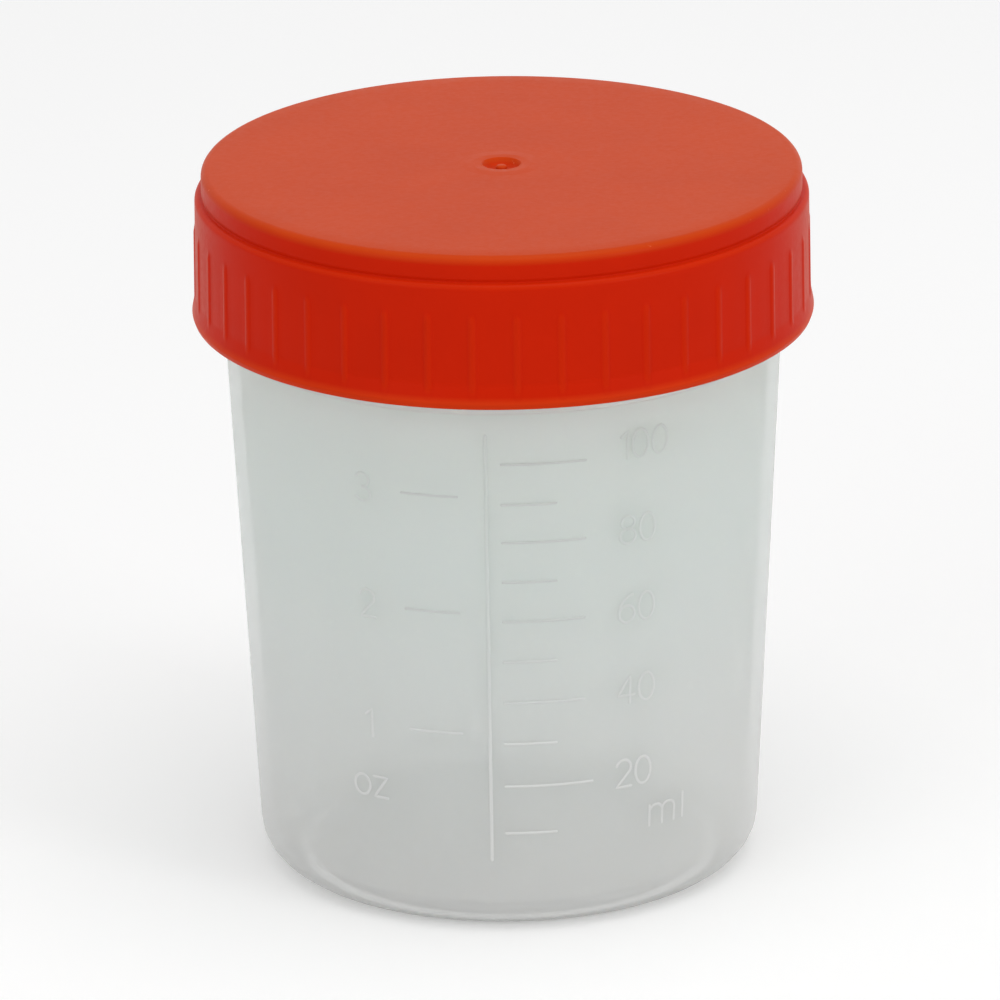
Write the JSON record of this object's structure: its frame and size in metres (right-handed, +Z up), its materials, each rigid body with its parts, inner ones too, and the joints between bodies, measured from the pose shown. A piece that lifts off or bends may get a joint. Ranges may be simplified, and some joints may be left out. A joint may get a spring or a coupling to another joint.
{
  "type": "urine specimen bottle",
  "caption": "Tapered translucent cup with volume marks and a ribbed orange screw cap, for taking and carrying a urine specimen.",
  "frame": {"origin": "centre of the ring that the cup stands on, on the table", "axes": "+Z up along the cup's axis, the volume marks face -Y"},
  "size_m": [0.065, 0.065, 0.0758],
  "materials": {
    "cup_plastic": "milky translucent polypropylene, satin",
    "liner_foam": "white closed-cell foam",
    "cap_plastic": "orange-red polyethylene, soft gloss"
  },
  "bodies": {
    "cup": {"cup": "cup_plastic"},
    "liner": {"sealing_liner": "liner_foam"},
    "cap": {"cap": "cap_plastic"}
  },
  "joints": [
    {"name": "cap_lift", "type": "slide", "parent": "cup", "child": "liner", "axis": [0, 0, 1], "range_m": [0, 0.015]},
    {"name": "cap_turn", "type": "hinge", "parent": "liner", "child": "cap", "pos_m": [0, 0, 0.0743], "axis": [0, 0, 1], "range_deg": [0, 1080]}
  ],
  "couplings": [
    {"joint": "cap_lift", "follows": "cap_turn", "m_per_rad": 0.00079577}
  ]
}
